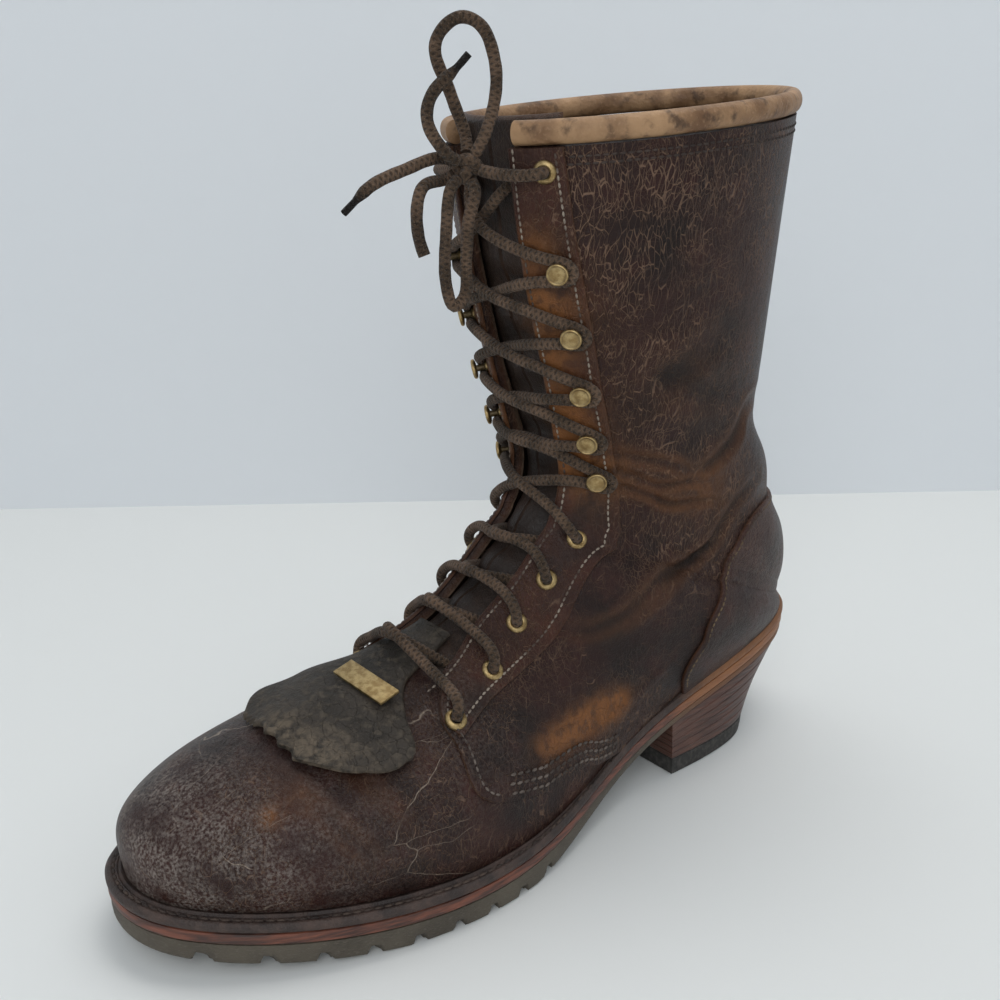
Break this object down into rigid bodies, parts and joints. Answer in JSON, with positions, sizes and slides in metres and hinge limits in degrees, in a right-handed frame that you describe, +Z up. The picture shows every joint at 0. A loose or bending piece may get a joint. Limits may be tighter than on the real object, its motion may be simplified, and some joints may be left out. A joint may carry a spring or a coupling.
{
  "type": "logger boot",
  "caption": "Left lace-up work boot with a tall shaft, underslung heel, lugged sole, kiltie and laces.",
  "frame": {"origin": "on the floor under the middle of the heel's top lift", "axes": "+Z up, the toe points to -Y, +X is the outer (lateral) side of this left boot"},
  "size_m": [0.1186, 0.3138, 0.3025],
  "materials": {
    "leather": "worn oiled",
    "overlay": "worn oiled",
    "tan": "worn",
    "tongue": "dull",
    "welt": "dull",
    "edge": "burnished",
    "rubber": "worn matte",
    "stack": "burnished",
    "lift": "worn matte",
    "insole": "matte",
    "brass": "aged",
    "lace": "worn"
  },
  "bodies": {
    "root": {"outsole": "rubber", "midsole": "edge", "welt": "welt", "heel_stack": "stack", "heel_top_lift": "lift", "insole": "insole", "upper": "leather", "counter": "overlay", "eyestay_lateral": "overlay", "eyestay_medial": "overlay", "back_stay": "overlay", "collar_binding": "tan", "tongue": "tongue", "kiltie": "overlay", "lace_keeper": "brass", "lace_crossings": "lace", "lace_knot": "lace", "lace_loop_up": "lace", "lace_loop_down": "lace", "lace_bight": "lace", "lace_end_up": "lace", "lace_end_side": "lace", "eyelet_lateral_1": "brass", "eyelet_lateral_2": "brass", "eyelet_lateral_3": "brass", "eyelet_lateral_4": "brass", "eyelet_lateral_5": "brass", "eyelet_lateral_6": "brass", "eyelet_medial_1": "brass", "eyelet_medial_2": "brass", "eyelet_medial_3": "brass", "eyelet_medial_4": "brass", "eyelet_medial_5": "brass", "eyelet_medial_6": "brass", "hook_lateral_1": "brass", "hook_lateral_2": "brass", "hook_lateral_3": "brass", "hook_lateral_4": "brass", "hook_lateral_5": "brass", "hook_medial_1": "brass", "hook_medial_2": "brass", "hook_medial_3": "brass", "hook_medial_4": "brass", "hook_medial_5": "brass"}
  },
  "joints": []
}
